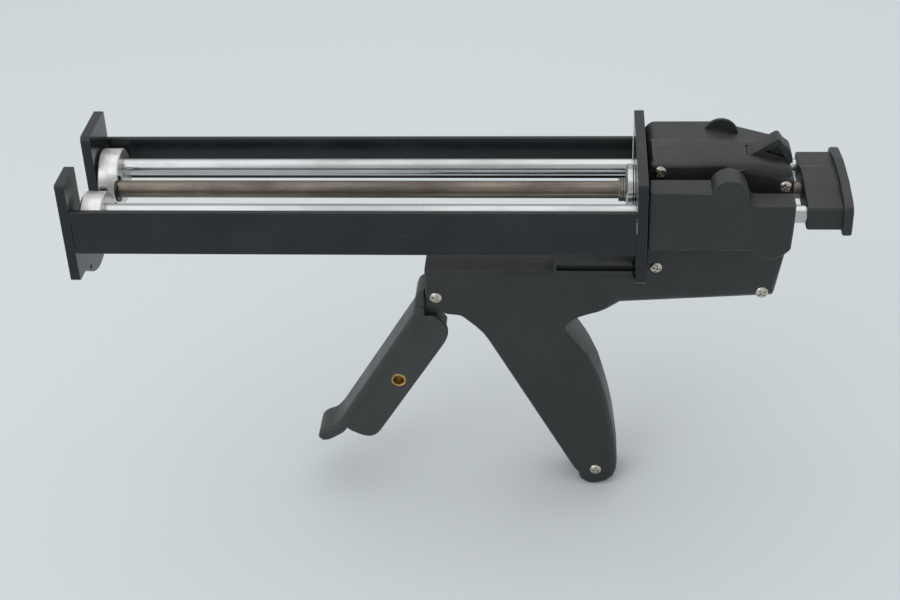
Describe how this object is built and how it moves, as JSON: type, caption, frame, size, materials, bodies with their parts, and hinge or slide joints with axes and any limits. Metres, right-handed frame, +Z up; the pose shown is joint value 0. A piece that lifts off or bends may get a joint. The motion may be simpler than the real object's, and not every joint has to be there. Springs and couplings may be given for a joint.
{
  "type": "caulking gun",
  "caption": "Manual two-cartridge caulking gun with open steel carriage, paired plunger discs, plastic pistol housing, long trigger and rear pull handle.",
  "frame": {"origin": "middle of the gun's length and width, at the lowest point of the grip", "axes": "+X toward the pull handle, -X toward the nozzle end, -Y the gun's left side, +Z up as the gun is held"},
  "size_m": [0.436, 0.092, 0.2353],
  "materials": {
    "painted_steel": "satin black enamel, edges rubbed",
    "black_plastic": "fine-textured charcoal moulding",
    "trigger_plastic": "fine-textured charcoal moulding",
    "bush_nylon": "turned nylon",
    "chromed_steel": "bright chrome plate",
    "plain_steel": "plain steel",
    "oiled_steel": "brown oil film on steel",
    "dark_steel": "blackened steel",
    "turned_aluminium": "turned",
    "screw_nickel": "yellowish nickel plate",
    "bush_brass": "plain brass",
    "spring_steel": "zinc-plated spring wire"
  },
  "bodies": {
    "frame": {"front_plate": "painted_steel", "rail_left": "painted_steel", "rail_right": "painted_steel", "rear_plate": "painted_steel", "rod_bush_left": "bush_nylon", "rod_bush_right": "bush_nylon", "centre_bush": "plain_steel", "carriage_nut": "chromed_steel", "housing_left": "black_plastic", "housing_right": "black_plastic", "trigger_pivot_screw": "screw_nickel", "housing_screw_lower_front": "screw_nickel", "housing_screw_lower_rear": "screw_nickel", "housing_screw_grip": "screw_nickel", "housing_screw_ridge_front": "screw_nickel", "housing_screw_ridge_rear": "screw_nickel", "drive_spring": "spring_steel", "brake_spring": "spring_steel", "lever_pin": "plain_steel"},
    "plunger": {"plunger_rod_left": "chromed_steel", "plunger_rod_right": "chromed_steel", "plunger_disc_left": "turned_aluminium", "plunger_disc_right": "turned_aluminium", "disc_set_screw_left": "dark_steel", "disc_set_screw_right": "dark_steel", "drive_rod": "oiled_steel", "drive_rod_clip": "dark_steel", "pull_handle": "black_plastic", "handle_screw_left": "plain_steel", "handle_screw_centre": "plain_steel", "handle_screw_right": "plain_steel"},
    "trigger": {"trigger": "trigger_plastic", "trigger_bush": "bush_brass", "link_pin": "plain_steel"},
    "drive": {"drive_yoke": "plain_steel", "drive_plate_1": "plain_steel", "drive_plate_2": "plain_steel", "drive_plate_3": "plain_steel"},
    "brake": {"brake_plate": "plain_steel"},
    "lever": {"release_lever": "black_plastic"}
  },
  "joints": [
    {"name": "trigger_pivot", "type": "hinge", "parent": "frame", "child": "trigger", "pos_m": [-0.01335, 0, 0.13728], "axis": [0, -1, 0], "range_deg": [0, 28], "stiffness_Nm_per_rad": 0.6, "springref_deg": -20.05},
    {"name": "drive_slide", "type": "slide", "parent": "frame", "child": "drive", "axis": [-1, 0, 0], "range_m": [0, 0.0047], "deforming": ["drive_spring"]},
    {"name": "plunger_slide", "type": "slide", "parent": "frame", "child": "plunger", "axis": [1, 0, 0], "range_m": [0, 0.284]},
    {"name": "release_lever_pivot", "type": "hinge", "parent": "frame", "child": "lever", "pos_m": [0.17465, 0, 0.21643], "axis": [0, 1, 0], "range_deg": [0, 12], "stiffness_Nm_per_rad": 0.05, "springref_deg": -17.19},
    {"name": "brake_tilt", "type": "hinge", "parent": "frame", "child": "brake", "pos_m": [0.16825, 0, 0.18708], "axis": [0, -1, 0], "range_deg": [0, 2.2], "deforming": ["brake_spring"]}
  ],
  "couplings": [
    {"joint": "drive_slide", "follows": "trigger_pivot", "m_per_rad": 0.0093},
    {"joint": "brake_tilt", "follows": "release_lever_pivot", "ratio": 0.17}
  ]
}
